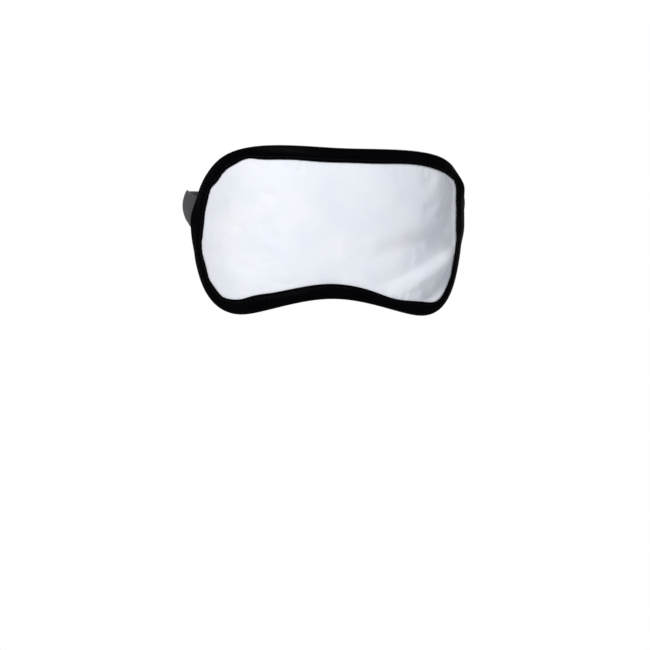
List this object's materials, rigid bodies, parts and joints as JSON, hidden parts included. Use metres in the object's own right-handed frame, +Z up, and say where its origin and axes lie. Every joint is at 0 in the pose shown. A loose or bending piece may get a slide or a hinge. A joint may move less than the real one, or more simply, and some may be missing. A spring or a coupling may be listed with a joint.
{
  "type": "sleep mask",
  "caption": "Padded eye mask curved as worn, with a bound edge and an elastic head strap whose slider moves along it to set the length.",
  "frame": {"origin": "middle of the wearer's head at the pad's mid-height, 98 mm behind the middle of the pad", "axes": "+Z up along the head, -Y the way the wearer looks and out of the white front, +X towards the strap's ring"},
  "size_m": [0.177, 0.1977, 0.0999],
  "materials": {
    "white_satin": "smooth white satin",
    "foam": "soft foam and wadding",
    "black_lining": "brushed knit",
    "black_satin": "satin bias tape",
    "grey_elastic": "woven elastic",
    "black_thread": "sewing thread",
    "black_plastic": "moulded acetal"
  },
  "bodies": {
    "mask": {"front_panel": "white_satin", "foam_core": "foam", "back_lining": "black_lining", "edge_binding": "black_satin", "binding_thread_front": "black_thread", "binding_thread_back": "black_thread", "strap_long": "grey_elastic", "strap_short": "grey_elastic", "strap_return": "grey_elastic", "bartack_pad_left": "black_thread", "bartack_pad_right": "black_thread", "bartack_ring": "black_thread", "strap_ring": "black_plastic"},
    "slider": {"strap_slider": "black_plastic", "strap_end_loop": "grey_elastic", "bartack_slider": "black_thread"}
  },
  "joints": [
    {"name": "slider_slide", "type": "slide", "parent": "mask", "child": "slider", "axis": [1, 0, 0], "range_m": [-0.028, 0.01], "deforming": ["strap_return"]}
  ]
}
